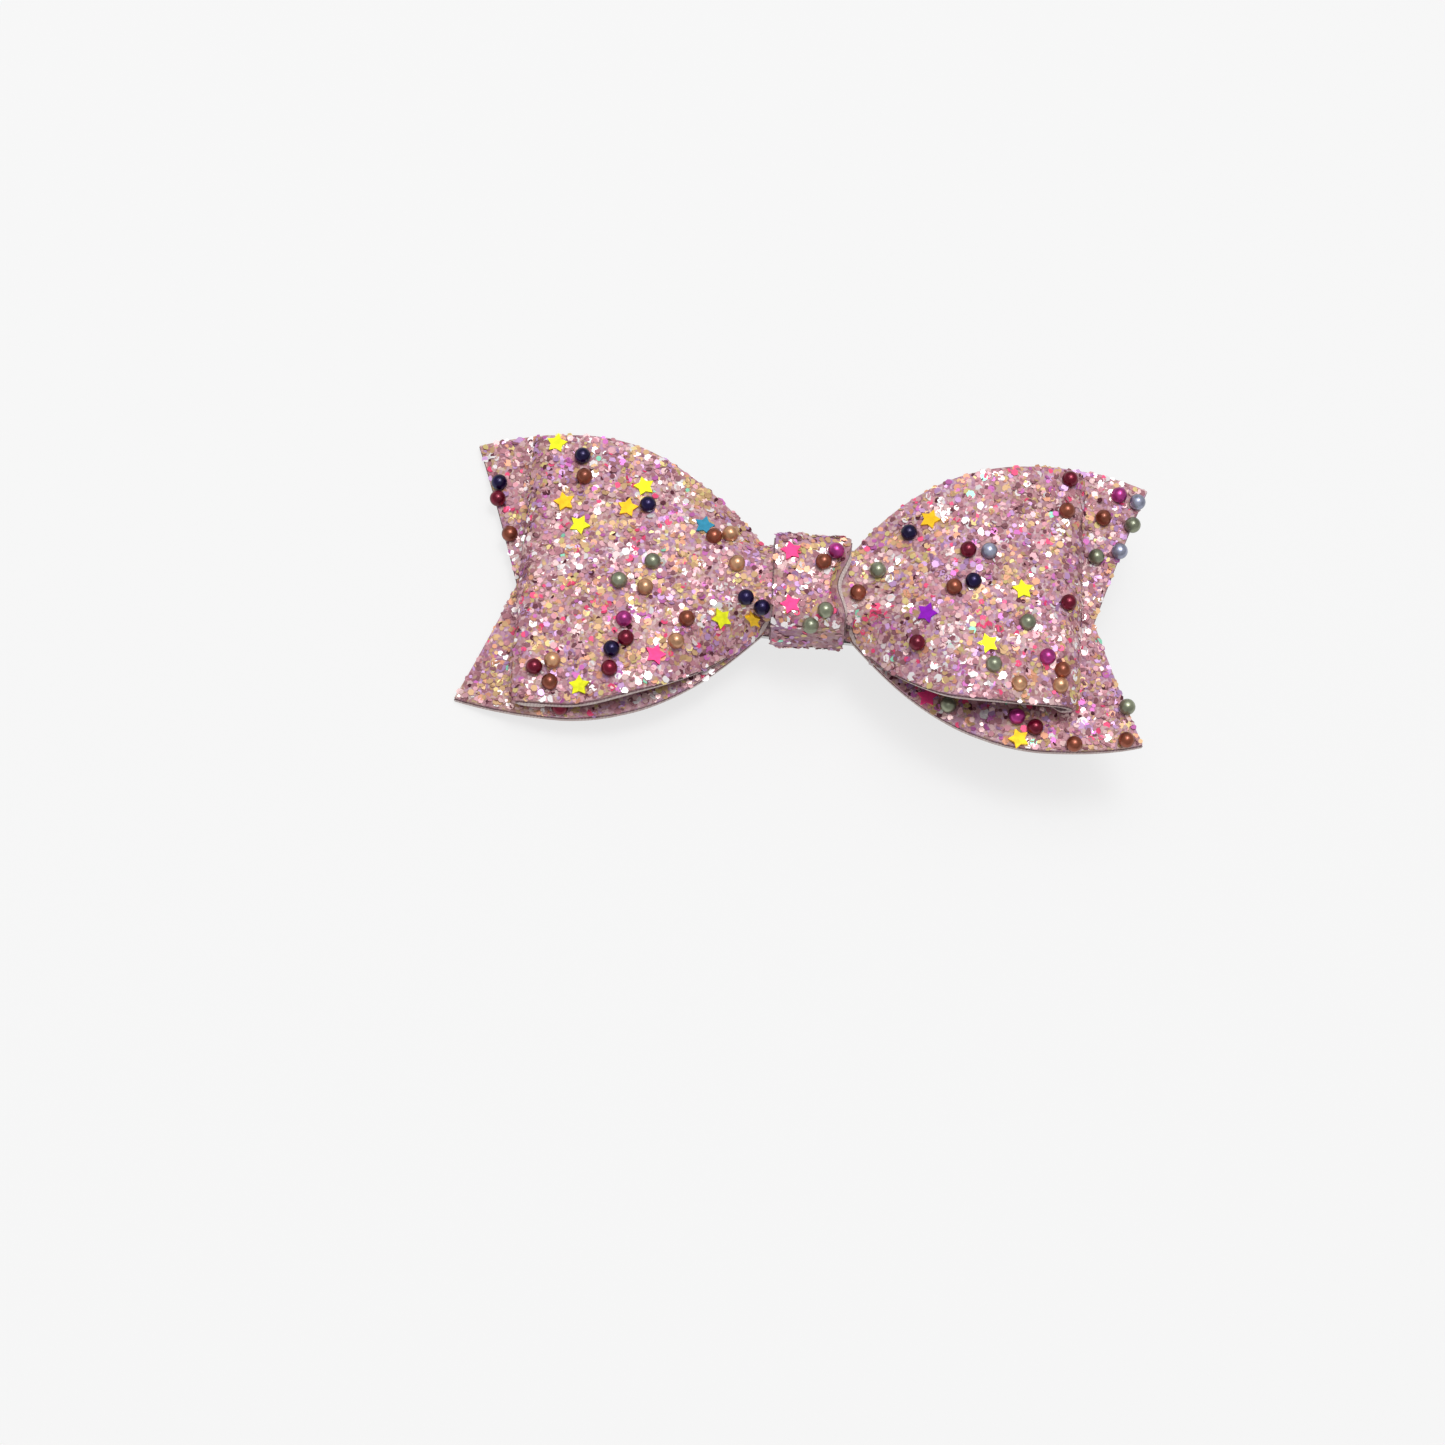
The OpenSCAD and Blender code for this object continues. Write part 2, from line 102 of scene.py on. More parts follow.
# How deep the notch in each end is, and how far below the middle
NOTCH, NOTCH_LOW = 5.7, 1.4

# The loops: where their folds are, their height at the fold, how far their fronts rise above
# the clip's face, the control points that shape their front edges beside the knot, and how
# far out those edges reach their full height
FOLD = {-1: 31.1, 1: 29.1}
LOOP_H = {-1: 31.6, 1: 30.0}
RISE = {-1: 5.6, 1: 7.8}
FLARE = {-1: (7, 6.8), 1: (6.5, 7.4)}
SHOULDER = {-1: 15.5, 1: 14.0}
SHOULDER_RISE = 0.5
FOLD_EDGE = 28.0

# A loop's front in section: it leaves the knot's level, climbs to its crest, and then falls by
# a share of its depth to the fold, which it meets level and which is longer than it is deep
FRONT_LEAVE, FRONT_CLIMB, CREST_FROM, CREST_TO = 9, 11, 19, 23
CREST_FALL, FOLD_LEAD, FOLD_NOSE, FOLD_ROUND = 0.12, 3, 1.25, 0.55

# The loop strip is narrowest at the knot, where it ends; its second end climbs over the first
WAIST_X, WAIST_H, BACK_WAIST_H = 4.6, 8.2, 7.8
END_X, RAMP_X, RAMP_EASE = 4.0, 9.0, 1.5

# The wrap's height and corner radius, its width at the top and bottom, and where it laps
KNOT_H, KNOT_R = 11.0, 1.6
WRAP_TOP, WRAP_BOTTOM = 8.8, 8.0
LAP_Y, INNER_END_Y = 2.5, 2.0

# The clip: the lever's end, how far below the glued face it is, and the lever's heel
LEVER_END, LEVER_DROP, HEEL_Z = 21.0, 9.2, -5.1

# Heights in the stack at the knot, where each sheet's backing meets its coat
SHEET_T = BACKING_T + COAT_T
TAIL_FACE = GLUE_T + BACKING_T
LOOP_BACK = GLUE_T + SHEET_T + GLUE_T + COAT_T
LOOP_END = LOOP_BACK + BACKING_T + FILM_T + COAT_T
LOOP_FRONT = LOOP_END + BACKING_T + GLUE_T + BACKING_T
WRAP_FRONT = LOOP_FRONT + COAT_T + WRAP_GAP + BACKING_T
WRAP_BACK = -STEEL_T - WRAP_GAP - BACKING_T

# How far the wrap draws every sheet's edges back over the clip's arm, where that starts beside
# the arm, and how far along the bow it reaches
WAIST_CURL = 1.2
BESIDE_ARM, ARM_EASE, WAIST_REACH = 3.3, 0.8, 12

# How far the loops' front layer is drawn back at its edge, for each side (-1 left) and edge
# (-1 bottom), where along the bow that starts and fades, and the share of the half height
# that stays flat
FRONT_CURL = {(-1, 1): 2.2, (-1, -1): 4.0, (1, 1): 0.2, (1, -1): 3.4}
CURL_FROM, CURL_EASE, CURL_FADE_FROM, CURL_FADE = 4.2, 1.6, 7, 15
CURL_EDGE = 0.45

# The share of its depth that each loop loses at the lower end of its fold, the share of its
# lower half's height that the strip is cut short there, and where along the bow both start
PRESS = {-1: 0.8, 1: 0.62}
PRESS_FROM, PRESS_EASE, PRESS_EDGE = 17, 9, 0.3
CUT_SHORT = {-1: 0.0, 1: 0.165}
SHORT_FROM, SHORT_EASE = 14, 12

# How far the wrap's right edge is drawn in at its narrowest, how far it turns up there, and
# the height above which both are in full
PINCH, PINCH_Y, PINCH_REACH = 1.25, -0.8, 2.6
TURN_UP, TURN_REACH, TURN_EASE, TURN_EDGE = 0.75, 3.2, 1.4, 0.8
PINCH_FROM_Z, PINCH_EASE = 3, 2


# ---- curves ----

def bez(a, b, c, d, n=24):
    """Points along a cubic Bezier curve."""
    a, b, c, d = (np.array(p, float) for p in (a, b, c, d))
    t = np.linspace(0, 1, n + 1)[:, None]
    s = 1 - t
    return s ** 3 * a + 3 * s * s * t * b + 3 * s * t * t * c + t ** 3 * d


def arc(cx, cz, r, start, end, n=12):
    """Points along a circle's arc, from the start to the end angle in degrees."""
    a = np.radians(np.linspace(start, end, n + 1))
    return np.stack([cx + r * np.cos(a), cz + r * np.sin(a)], 1)


def even(points, step):
    """The same curve with its points about a step apart."""
    points = np.asarray(points, float)
    keep = np.r_[True, np.linalg.norm(np.diff(points, axis=0), axis=1) > 1e-6]
    points = points[keep]
    along = np.r_[0, np.cumsum(np.linalg.norm(np.diff(points, axis=0), axis=1))]
    s = np.linspace(0, along[-1], max(2, round(along[-1] / step)) + 1)
    return np.stack([np.interp(s, along, points[:, k]) for k in range(2)], 1)


def smooth(t):
    """0 up to t = 0, 1 from t = 1, with a smooth rise between."""
    t = np.clip(t, 0, 1)
    return t * t * (3 - 2 * t)


def rise(value, start, width):
    """0 up to start, rising smoothly to 1 a width further on."""
    return smooth((value - start) / width)


def loop_side(side):
    """Front, fold and back of one loop, from the knot outwards."""
    fold, top = FOLD[side], RISE[side] - COAT_T
    drop = CREST_FALL * (top - LOOP_BACK)
    half = (top - drop - LOOP_BACK) / 2
    nose, mid, k = FOLD_NOSE * half, LOOP_BACK + half, FOLD_ROUND
    bend = fold - nose
    return np.concatenate([
        [(0, LOOP_FRONT)],
        bez((side * WAIST_X, LOOP_FRONT), (side * FRONT_LEAVE, LOOP_FRONT),
            (side * FRONT_CLIMB, top), (side * CREST_FROM, top)),
        bez((side * CREST_FROM, top), (side * CREST_TO, top),
            (side * (bend - FOLD_LEAD), top - drop), (side * bend, top - drop)),
        bez((side * bend, top - drop), (side * (bend + k * nose), top - drop),
            (side * fold, mid + k * half), (side * fold, mid)),
        bez((side * fold, mid), (side * fold, mid - k * half),
            (side * (bend + k * nose), LOOP_BACK), (side * bend, LOOP_BACK)),
    ])


def loop_path():
    """The strip from its first end, round the left loop, over the knot and round the right one."""
    return np.concatenate([
        [(END_X, LOOP_BACK)], loop_side(-1)[::-1], loop_side(1),
        bez((RAMP_X, LOOP_BACK), (RAMP_X - RAMP_EASE, LOOP_BACK),
            (WAIST_X + RAMP_EASE, LOOP_END), (WAIST_X, LOOP_END)),
        [(-END_X, LOOP_END)],
    ])


def wrap_path():
    """The wrap's Y and Z from its inner end, round the knot, to its lapped end."""
    r, half = KNOT_R - COAT_T, KNOT_H / 2 - COAT_T
    lap = SHEET_T + FILM_T
    return np.concatenate([
        [(INNER_END_Y, WRAP_BACK)],
        arc(-half + r, WRAP_BACK + r, r, 270, 180), arc(-half + r, WRAP_FRONT - r, r, 180, 90),
        arc(half - r, WRAP_FRONT - r, r, 90, 0), arc(half - r, WRAP_BACK + r, r, 0, -90),
        [(LAP_Y, WRAP_BACK - lap), (-LAP_Y, WRAP_BACK - lap)],
    ])


# Each edge runs from the waist outwards, as distance from the knot and half height
EDGE_STEPS, TIP_STEPS = 60, 30
FRONT_EDGE = {
    side: bez((WAIST_X, WAIST_H / 2), FLARE[side], (SHOULDER[side], h / 2 + SHOULDER_RISE),
              (FOLD_EDGE, h / 2), EDGE_STEPS)
    for side, h in LOOP_H.items()
}
BACK_EDGE = {
    side: np.concatenate([
        bez((WAIST_X, BACK_WAIST_H / 2), (9, 5), (14, 10), (24, 11.4), EDGE_STEPS),
        [(FOLD_EDGE, h / 2)],
    ])
    for side, h in LOOP_H.items()
}
TAIL_EDGE = {
    side: np.concatenate([
        bez((WAIST_X, WAIST_H / 2), (9, 9), (15, TAIL_H / 2 - 0.2), (26, TAIL_H / 2), EDGE_STEPS),
        bez((26, TAIL_H / 2), (30, TAIL_H / 2 - 0.1), (34, TIP_H / 2 + 1.2), (tip, TIP_H / 2), TIP_STEPS),
    ])
    for side, tip in TIP.items()
}


def half_height(edges, x):
    """Half a sheet's height at x, from its left and right edges."""
    left = np.interp(-x, edges[-1][:, 0], edges[-1][:, 1])
    right = np.interp(x, edges[1][:, 0], edges[1][:, 1])
    return np.where(x < 0, left, right)


def tail_height(x):
    """The height of the tail's coat side: flat, then bending back towards the tips."""
    span = np.where(x < 0, TIP[-1], TIP[1]) - FLAT_X
    return TAIL_FACE - DROOP * (np.maximum(np.abs(x) - FLAT_X, 0) / span) ** 2


# ---- smooth random fields ----

def ripples(points, size, seed, waves=24):
    """A smooth random field of about unit height with features of the given size."""
    rng = np.random.default_rng(seed)
    k = rng.normal(size=(waves, 3))
    least, most = 0.6, 1.5
    k *= (2 * math.pi / size) / np.linalg.norm(k, axis=1)[:, None] * rng.uniform(least, most, (waves, 1))
    phase = rng.uniform(0, 2 * math.pi, waves)
    flat = points.reshape(-1, 3)
    total = np.cos(flat @ k.T + phase).sum(1) * math.sqrt(2 / waves)
    return total.reshape(points.shape[:-1])


# ---- how the gathered sheets curl ----

def arch(x, y):
    """How far every sheet is drawn back beside the clip's arm."""
    beside_arm = rise(np.abs(y), BESIDE_ARM, ARM_EASE)
    near_knot = 1 - rise(np.abs(x), WAIST_X, WAIST_REACH)
    return WAIST_CURL * beside_arm * near_knot


def front_curl(x, y):
    """How far the loops' front layer is drawn back at x, y."""
    most = np.where(
        x < 0,
        np.where(y < 0, FRONT_CURL[-1, -1], FRONT_CURL[-1, 1]),
        np.where(y < 0, FRONT_CURL[1, -1], FRONT_CURL[1, 1]),
    )
    leaving = rise(np.abs(x), CURL_FROM, CURL_EASE) * (1 - rise(np.abs(x), CURL_FADE_FROM, CURL_FADE))
    edge = rise(np.abs(y) / half_height(FRONT_EDGE, x), CURL_EDGE, 1 - CURL_EDGE)
    shared = arch(x, y) * np.minimum(1, most / WAIST_CURL)
    return shared + np.maximum(0, most - WAIST_CURL) * leaving * edge


def loop_height(x, y, z):
    """Where a point of the loops at height z lies, once curled back and pressed at its lower fold."""
    in_front = z > LOOP_END + BACKING_T
    z = z - np.where(in_front, front_curl(x, y), arch(x, y))
    most = np.where(x < 0, PRESS[-1], PRESS[1])
    near_fold = rise(np.abs(x), PRESS_FROM, PRESS_EASE)
    near_edge = rise(-y / half_height(FRONT_EDGE, x), PRESS_EDGE, 1 - PRESS_EDGE)
    share = most * near_fold * near_edge
    base = LOOP_BACK + BACKING_T
    return np.where(z > base, base + (z - base) * (1 - share), z)


# ---- sheets as grids of points; the coat is on the side of their normals ----

STEP, WRAP_STEP = 0.45, 0.3
ACROSS = np.linspace(-1, 1, 71)
WRAP_ACROSS = np.linspace(1, -1, 29)


def shortened(x, y):
    """y on the loops, drawn in a little at the lower end of a fold that is cut short."""
    most = np.where(x < 0, CUT_SHORT[-1], CUT_SHORT[1])
    return np.where(y < 0, y * (1 - most * rise(np.abs(x), SHORT_FROM, SHORT_EASE)), y)


def loop_grid(inset=0.0):
    """The loop strip, from end to end by from edge to edge."""
    path = even(loop_path(), STEP)
    x, z = path[:, 0, None], path[:, 1, None]
    in_front = z > LOOP_END + BACKING_T
    half = np.where(in_front, half_height(FRONT_EDGE, x), half_height(BACK_EDGE, x)) - inset
    y = shortened(x, half * ACROSS[None])
    x = x + 0 * y
    return np.stack([x, y, loop_height(x, y, z + 0 * y)], 2)


def tail_grid(inset=0.0):
    """The tail, from its left end to its right one, with a notch in both."""
    middle = -NOTCH_LOW / (TIP_H / 2)
    off = np.where(ACROSS > middle, (ACROSS - middle) / (1 - middle), (middle - ACROSS) / (1 + middle))
    u = np.linspace(-1, 1, round(2 * TIP[1] / STEP) + 1)[:, None]
    tip = np.where(u < 0, TIP[-1], TIP[1])
    x = u * (tip - inset - NOTCH * (1 - off[None]))
    up = TAIL_UP * np.clip((np.abs(x) - WAIST_X) / TAIL_UP_REACH, 0, 1)
    y = (half_height(TAIL_EDGE, x) - inset) * ACROSS[None] + up
    return np.stack([x, y, tail_height(x) - arch(x, y)], 2)


def wrap_grid(inset=0.0):
    """The wrap, from its inner end to its lapped one, with its right edge drawn in and turned up."""
    path = even(wrap_path(), WRAP_STEP)
    half = (WRAP_BOTTOM + WRAP_TOP) / 4 + path[:, 0] / KNOT_H * (WRAP_TOP - WRAP_BOTTOM) / 4 - inset
    in_front = rise(path[:, 1], PINCH_FROM_Z, PINCH_EASE)
    drawn_in = PINCH * in_front * np.exp(-(((path[:, 0] - PINCH_Y) / PINCH_REACH) ** 2))
    share = WRAP_ACROSS[None]
    x = half[:, None] * share - drawn_in[:, None] * np.clip(share, 0, 1)
    y = path[:, 0, None] + 0 * x
    near_pinch = in_front * (1 - rise(np.abs(path[:, 0] - PINCH_Y), TURN_REACH, TURN_EASE))
    z = path[:, 1, None] + TURN_UP * near_pinch[:, None] * rise(share, TURN_EDGE, 1 - TURN_EDGE)
    return np.stack([x, y, z], 2)


def grid_normals(points):
    """Unit normals at every point of a grid."""
    n = np.cross(np.gradient(points, axis=0), np.gradient(points, axis=1))
    return n / np.linalg.norm(n, axis=2)[..., None]


# ---- meshes ----

def to_frame(points):
    """Points in the level axes, in the frame's metres."""
    flat = np.asarray(points, float).reshape(-1, 3)
    return flat @ LEVEL_NP[:3, :3].T + LEVEL_NP[:3, 3]


def to_level(points):
    """Points in the frame's metres, in the level axes."""
    return (np.asarray(points, float) - LEVEL_NP[:3, 3]) @ np.linalg.inv(LEVEL_NP[:3, :3]).T


def piece(name, verts, faces, material, body="bow", smooth_faces=True, sharp=()):
    """A new mesh piece from points in the level axes, riding on a body if one is named."""
    mesh = bpy.data.meshes.new(name)
    mesh.from_pydata(to_frame(verts).tolist(), [], faces)
    mesh.polygons.foreach_set("use_smooth", [smooth_faces] * len(mesh.polygons))
    if len(sharp):
        sharp = {tuple(sorted(e)) for e in sharp}
        for e in mesh.edges:
            e.use_edge_sharp = tuple(sorted(e.vertices)) in sharp
    mesh.materials.append(material)
    mesh.validate()
    obj = bpy.data.objects.new(name, mesh)
    bpy.context.scene.collection.objects.link(obj)
    if body:
        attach(obj, body)
    return obj


def shell(name, low, high, material, rim_material=None):
    """A closed sheet between two grids of points, high being its outer side."""
    rows, cols = low.shape[:2]
    index = np.arange(rows * cols).reshape(rows, cols)
    lift = rows * cols
    quads = np.stack([index[:-1, :-1], index[1:, :-1], index[1:, 1:], index[:-1, 1:]], -1).reshape(-1, 4)
    faces = quads.tolist() + (quads[:, ::-1] + lift).tolist()
    rim = np.concatenate([index[:-1, 0], index[-1, :-1], index[:0:-1, -1], index[0, :0:-1]]).tolist()
    loop = list(zip(rim, rim[1:] + rim[:1]))
    faces += [(b, a, a + lift, b + lift) for a, b in loop]
    sharp = loop + [(a + lift, b + lift) for a, b in loop]
    verts = np.concatenate([high.reshape(-1, 3), low.reshape(-1, 3)])
    obj = piece(name, verts, faces, material, sharp=sharp)
    if rim_material:
        obj.data.materials.append(rim_material)
        for polygon in obj.data.polygons[-len(loop):]:
            polygon.material_index = 1
    return obj


# The coat's thickness on its border as a share, and its lumps' height and two sizes
BORDER_SHARE = 0.7
LUMP, FINE_LUMPS, BROAD_LUMPS = 0.06, 1.2, 3.5


def edge_fade(shape, cells=2):
    """0 on a grid's border, rising to 1 a few cells in."""
    rows, cols = shape
    i, j = np.arange(rows)[:, None], np.arange(cols)[None]
    inset = np.minimum(np.minimum(i, rows - 1 - i), np.minimum(j, cols - 1 - j))
    return np.clip(inset / cells, 0, 1)


def coat_surface(points, normals, seed):
    """The coat's lumpy outer face over a sheet's grid."""
    fade = edge_fade(points.shape[:2])
    lumps = LUMP * ripples(points, FINE_LUMPS, seed) + LUMP * ripples(points, BROAD_LUMPS, seed + 1)
    thick = COAT_T * (BORDER_SHARE + (1 - BORDER_SHARE) * fade) + lumps * fade
    return points + normals * thick[..., None]


def swept_tube(line, radius, sides):
    """A closed tube of the given radius along a line of points."""
    line = np.asarray(line, float)
    ahead = np.gradient(line, axis=0)
    ahead /= np.linalg.norm(ahead, axis=1)[:, None]
    not_ahead = (0.3, 1, 0.2)
    side = np.cross(ahead[0], not_ahead)
    verts = []
    for p, t in zip(line, ahead):
        side = side - t * (side @ t)
        side /= np.linalg.norm(side)
        other = np.cross(t, side)
        verts += [p + radius * (math.cos(a) * side + math.sin(a) * other)
                  for a in np.arange(sides) * 2 * math.pi / sides]
    faces = []
    for ring in range(0, (len(line) - 1) * sides, sides):
        for k in range(sides):
            after = (k + 1) % sides
            faces.append((ring + k, ring + after, ring + sides + after, ring + sides + k))
    last = (len(line) - 1) * sides
    faces += [tuple(range(sides - 1, -1, -1)), tuple(range(last, last + sides))]
    return verts, faces


# ---- materials ----

def principled(name, **values):
    """A new material, its node tree and its shader, with plain values on the shader's sockets."""
    material = bpy.data.materials.new(name)
    material.use_nodes = True
    tree = material.node_tree
    shader = tree.nodes["Principled BSDF"]
    for key, value in values.items():
        shader.inputs[key.replace("_", " ")].default_value = value
    return material, tree, shader


def node(tree, kind, **values):
    """A new node with its settings and plain values on its sockets."""
    made = tree.nodes.new(kind)
    for key, value in values.items():
        if hasattr(made, key):
            setattr(made, key, value)
        else:
            made.inputs[key.replace("_", " ")].default_value = value
    return made


def ramp(tree, factor, stops, interpolation="LINEAR"):
    """A colour ramp's output, from stops of (place, colour)."""
    made = tree.nodes.new("ShaderNodeValToRGB")
    made.color_ramp.interpolation = interpolation
    band = made.color_ramp.elements
    for k, (place, colour) in enumerate(stops):
        e = band[k] if k < 2 else band.new(place)
        e.position = place
        e.color = (*colour, 1)
    tree.links.new(factor, made.inputs["Fac"])
    return made.outputs["Color"]


def grey(value):
    """A grey of the given value."""
    return (value, value, value)


def object_place(tree):
    """Each point's place in its own object, in metres."""
    return tree.nodes.new("ShaderNodeTexCoord").outputs["Object"]


def noise(tree, scale, detail=3.0, offset=None):
    """A noise texture's value in object space, read a fixed way off if offset is given."""
    place = object_place(tree)
    if offset:
        moved = node(tree, "ShaderNodeVectorMath", operation="ADD")
        moved.inputs[1].default_value = offset
        tree.links.new(place, moved.inputs[0])
        place = moved.outputs["Vector"]
    made = node(tree, "ShaderNodeTexNoise", Scale=scale, Detail=detail)
    tree.links.new(place, made.inputs["Vector"])
    return made.outputs["Fac"]


def mix(tree, a, b, factor, blend="MIX"):
    """Two colours mixed; factor is a number or another node's output."""
    made = node(tree, "ShaderNodeMix", data_type="RGBA", blend_type=blend)
    if isinstance(factor, float):
        made.inputs[0].default_value = factor
    else:
        tree.links.new(factor, made.inputs[0])
    tree.links.new(a, made.inputs[6])
    tree.links.new(b, made.inputs[7])
    return made.outputs[2]


def bump(tree, shader, height, strength, distance):
    """Bumps the shader's normal by another node's output."""
    made = node(tree, "ShaderNodeBump", Strength=strength, Distance=distance)
    tree.links.new(height, made.inputs["Height"])
    tree.links.new(made.outputs["Normal"], shader.inputs["Normal"])


def glitter_coat_material(name, shade, dust):
    """Resin packed with glitter dust: broad patches of tone under fine cells of their own colour.

    shade darkens the resin, its green a touch more, and on the knot's coat this darkening is
    painted shade; dust is the share of the fine cells' colour in it.
    """
    material, tree, shader = principled(name, Specular_IOR_Level=0.3)
    rosy = ramp(tree, noise(tree, 260.0), [
        (0.34, (0.30, 0.13, 0.16)), (0.48, (0.45, 0.21, 0.24)), (0.62, (0.58, 0.33, 0.36)),
    ])
    khaki = ramp(tree, noise(tree, 170.0, offset=(0.3, 0.1, 0.7)), [
        (0.40, (0.47, 0.24, 0.47)), (0.60, (0.54, 0.38, 0.17)),
    ])
    patch = ramp(tree, noise(tree, 330.0, offset=(0.9, 0.4, 0.2)), [
        (0.40, grey(0.05)), (0.62, grey(0.85)),
    ])
    base = mix(tree, rosy, khaki, patch)
    cells = node(tree, "ShaderNodeTexVoronoi", Scale=2900.0, Randomness=1.0)
    tree.links.new(object_place(tree), cells.inputs["Vector"])
    split = tree.nodes.new("ShaderNodeSeparateColor")
    tree.links.new(cells.outputs["Color"], split.inputs["Color"])
    flecks = ramp(tree, split.outputs["Red"], [
        (0.00, (0.36, 0.13, 0.18)), (0.16, (0.58, 0.33, 0.38)), (0.34, (0.44, 0.23, 0.26)),
        (0.50, (0.50, 0.30, 0.52)), (0.60, (0.70, 0.50, 0.52)), (0.72, (0.52, 0.40, 0.20)),
        (0.84, (0.76, 0.66, 0.60)), (0.93, (0.22, 0.08, 0.12)),
    ], "CONSTANT")
    tint = node(tree, "ShaderNodeRGB")
    tint.outputs[0].default_value = (shade, 0.96 * shade, shade, 1)
    colour = mix(tree, mix(tree, base, flecks, dust), tint.outputs[0], 1.0, "MULTIPLY")
    tree.links.new(colour, shader.inputs["Base Color"])
    rough = ramp(tree, split.outputs["Blue"], [(0.0, grey(0.3)), (1.0, grey(0.6))])
    tree.links.new(rough, shader.inputs["Roughness"])
    bump(tree, shader, split.outputs["Green"], 0.35, 0.00008)
    return material


def canvas_material(name, low, high):
    """Plain-woven cotton: two crossed sets of threads in bump and tone, with slubs and stains."""
    material, tree, shader = principled(name, Roughness=0.92, Specular_IOR_Level=0.2)
    place = object_place(tree)
    threads = []
    for axis in ("X", "Y"):
        wave = node(tree, "ShaderNodeTexWave", wave_type="BANDS", bands_direction=axis,
                    Scale=860.0, Distortion=1.2, Detail=1.0)
        tree.links.new(place, wave.inputs["Vector"])
        threads.append(wave.outputs["Fac"])
    weave = node(tree, "ShaderNodeMath", operation="MULTIPLY")
    for k, thread in enumerate(threads):
        tree.links.new(thread, weave.inputs[k])
    tone = ramp(tree, weave.outputs["Value"], [(0.0, low), (0.5, high)])
    stain = ramp(tree, noise(tree, 140.0), [(0.35, (0.80, 0.74, 0.75)), (0.65, grey(1.0))])
    tree.links.new(mix(tree, tone, stain, 0.6, "MULTIPLY"), shader.inputs["Base Color"])
    bump(tree, shader, weave.outputs["Value"], 0.5, 0.00008)
    return material


def pearl_material(name, colour):
    """Pearl lacquer: a cloudy metallic colour that darkens towards the rim, under a clear coat."""
    material, tree, shader = principled(
        name, Metallic=0.65, Roughness=0.3, Specular_IOR_Level=0.1, Specular_Tint=(0.25, 0.25, 0.25, 1),
        Coat_Weight=0.65, Coat_Roughness=0.18)
    dark = tuple(0.7 * c for c in colour)
    light = tuple(min(1, 1.3 * c) for c in colour)
    cloud = ramp(tree, noise(tree, 900.0), [(0.35, dark), (0.65, light)])
    tree.links.new(cloud, shader.inputs["Base Color"])
    return material


def foil_material(name, colour):
    """Coloured foil under resin, a little uneven."""
    material, tree, shader = principled(name, Metallic=0.3, Roughness=0.4, Specular_IOR_Level=0.15)
    dark = tuple(0.8 * c for c in colour)
    uneven = ramp(tree, noise(tree, 1500.0, 2.0), [(0.35, dark), (0.6, colour)])
    tree.links.new(uneven, shader.inputs["Base Color"])
    return material


def steel_material(name, colour, roughness):
    """Nickel-plated steel: fine draw lines and faint smears."""
    material, tree, shader = principled(name, Metallic=1.0)
    stretch = node(tree, "ShaderNodeMapping", Scale=(1, 30, 8))
    tree.links.new(object_place(tree), stretch.inputs["Vector"])
    lines = node(tree, "ShaderNodeTexNoise", Scale=400.0, Detail=4.0)
    tree.links.new(stretch.outputs["Vector"], lines.inputs["Vector"])
    dark = tuple(0.72 * c for c in colour)
    smears = ramp(tree, noise(tree, 120.0), [(0.35, dark), (0.65, colour)])
    drawn = ramp(tree, lines.outputs["Fac"], [(0.35, grey(0.74)), (0.6, grey(1.0))])
    tree.links.new(mix(tree, smears, drawn, 1.0, "MULTIPLY"), shader.inputs["Base Color"])
    rough = ramp(tree, lines.outputs["Fac"], [
        (0.3, grey(roughness - 0.08)), (0.7, grey(roughness + 0.14)),
    ])
    tree.links.new(rough, shader.inputs["Roughness"])
    bump(tree, shader, lines.outputs["Fac"], 0.3, 0.00004)
    return material


def glue_material():
    """Cloudy hot-melt glue."""
    material, tree, shader = principled(
        "hot_glue", Roughness=0.28, Subsurface_Weight=0.3, Subsurface_Scale=0.001)
    cloud = ramp(tree, noise(tree, 300.0), [(0.3, (0.70, 0.64, 0.50)), (0.7, (0.88, 0.84, 0.72))])
    tree.links.new(cloud, shader.inputs["Base Color"])
    bump(tree, shader, noise(tree, 700.0), 0.3, 0.0001)
    return material


# The canvas's dark mauve taupe is partly its own tone and partly painted shade for the shaded gaps under the
# loops; its cut edge keeps the paler tone.
CANVAS_TONE_AND_PAINTED_SHADE = canvas_material("canvas", (0.22, 0.14, 0.155), (0.36, 0.25, 0.265))
CUT_EDGE = canvas_material("canvas_cut_edge", (0.60, 0.49, 0.47), (0.72, 0.62, 0.59))
COAT = glitter_coat_material("glitter_coat", 0.95, 0.55)
# The knot's coat is darker than the rest: painted shade for the wrap's shaded lower side.
KNOT_COAT_PAINTED_SHADE = glitter_coat_material("glitter_coat_knot_painted_shade", 0.84, 0.28)
GLUE = glue_material()
CLIP_STEEL = steel_material("clip_steel", (0.72, 0.71, 0.70), 0.24)
WIRE_STEEL = steel_material("spring_steel", (0.42, 0.42, 0.45), 0.3)

# ---- sheets: a woven backing and a coat that stops just inside its cut edge ----

GRIDS = {"loop": loop_grid, "tail": tail_grid, "wrap": wrap_grid}

